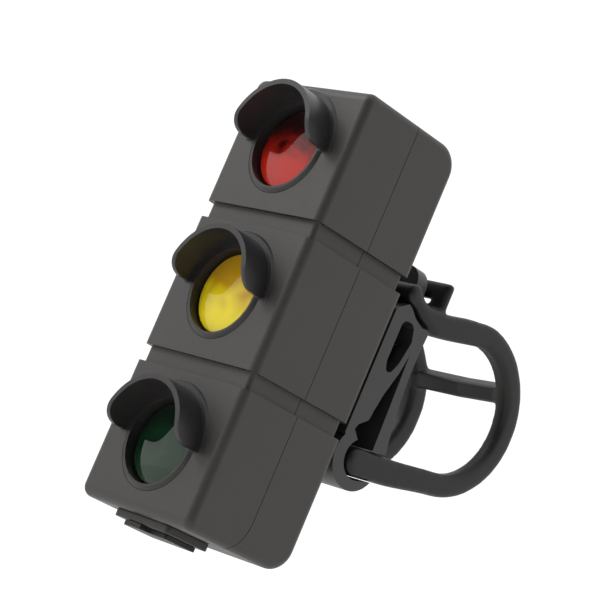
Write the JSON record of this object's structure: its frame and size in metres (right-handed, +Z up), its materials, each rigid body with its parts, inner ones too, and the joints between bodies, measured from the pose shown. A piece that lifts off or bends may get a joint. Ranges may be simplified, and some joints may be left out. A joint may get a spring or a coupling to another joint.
{
  "type": "bar mounted signal light",
  "caption": "Small tail light shaped like a three-lamp traffic signal, with hoods, a swivelling plastic bracket and a rubber ladder strap.",
  "frame": {"origin": "middle of the bracket's bar seat, level with the swivel screw", "axes": "+X to the right seen from the lamps' side, +Y from the lamps to the bar, +Z up"},
  "size_m": [0.025, 0.0616, 0.0692],
  "materials": {
    "housing_plastic": "fine moulded texture",
    "visor_plastic": "smooth moulded",
    "bracket_plastic": "smooth moulded",
    "strap_rubber": "soft sheen",
    "seal_rubber": "matt",
    "lens_red": "clear tinted, glossy",
    "lens_yellow": "clear tinted, glossy",
    "lens_green": "clear tinted, glossy",
    "white_plastic": "moulded",
    "led_package": "moulded",
    "board_laminate": "solder mask",
    "chip_epoxy": "moulded epoxy",
    "steel": "nickel plated",
    "cell_foil": "laminated foil",
    "lead_jacket": "smooth",
    "washer_nylon": "moulded"
  },
  "bodies": {
    "mount": {"bracket": "bracket_plastic", "mount_strap": "strap_rubber"},
    "light_head": {"front_shell": "housing_plastic", "rear_shell": "housing_plastic", "shell_gasket": "seal_rubber", "visor_red": "visor_plastic", "visor_yellow": "visor_plastic", "visor_green": "visor_plastic", "lens_red": "lens_red", "lens_yellow": "lens_yellow", "lens_green": "lens_green", "reflector_frame": "white_plastic", "led_red": "led_package", "led_yellow": "led_package", "led_green": "led_package", "circuit_board": "board_laminate", "control_chip": "chip_epoxy", "tactile_switch": "steel", "usb_socket": "steel", "battery_cell": "cell_foil", "battery_leads": "lead_jacket", "housing_screws": "steel", "port_bezel": "housing_plastic", "pivot_screw": "steel", "friction_washer": "washer_nylon"},
    "button": {"power_button": "seal_rubber"},
    "port_flap": {"port_cover": "seal_rubber"}
  },
  "joints": [
    {"name": "bracket_swivel", "type": "hinge", "parent": "mount", "child": "light_head", "pos_m": [0, 0, 0], "axis": [0, 1, 0], "continuous": true},
    {"name": "button_press", "type": "slide", "parent": "light_head", "child": "button", "axis": [0, 0, -1], "range_m": [0, 0.0006], "stiffness_N_per_m": 1500},
    {"name": "port_cover_hinge", "type": "hinge", "parent": "light_head", "child": "port_flap", "pos_m": [0, -0.0207, -0.03455], "axis": [1, 0, 0], "range_deg": [0, 110]}
  ]
}
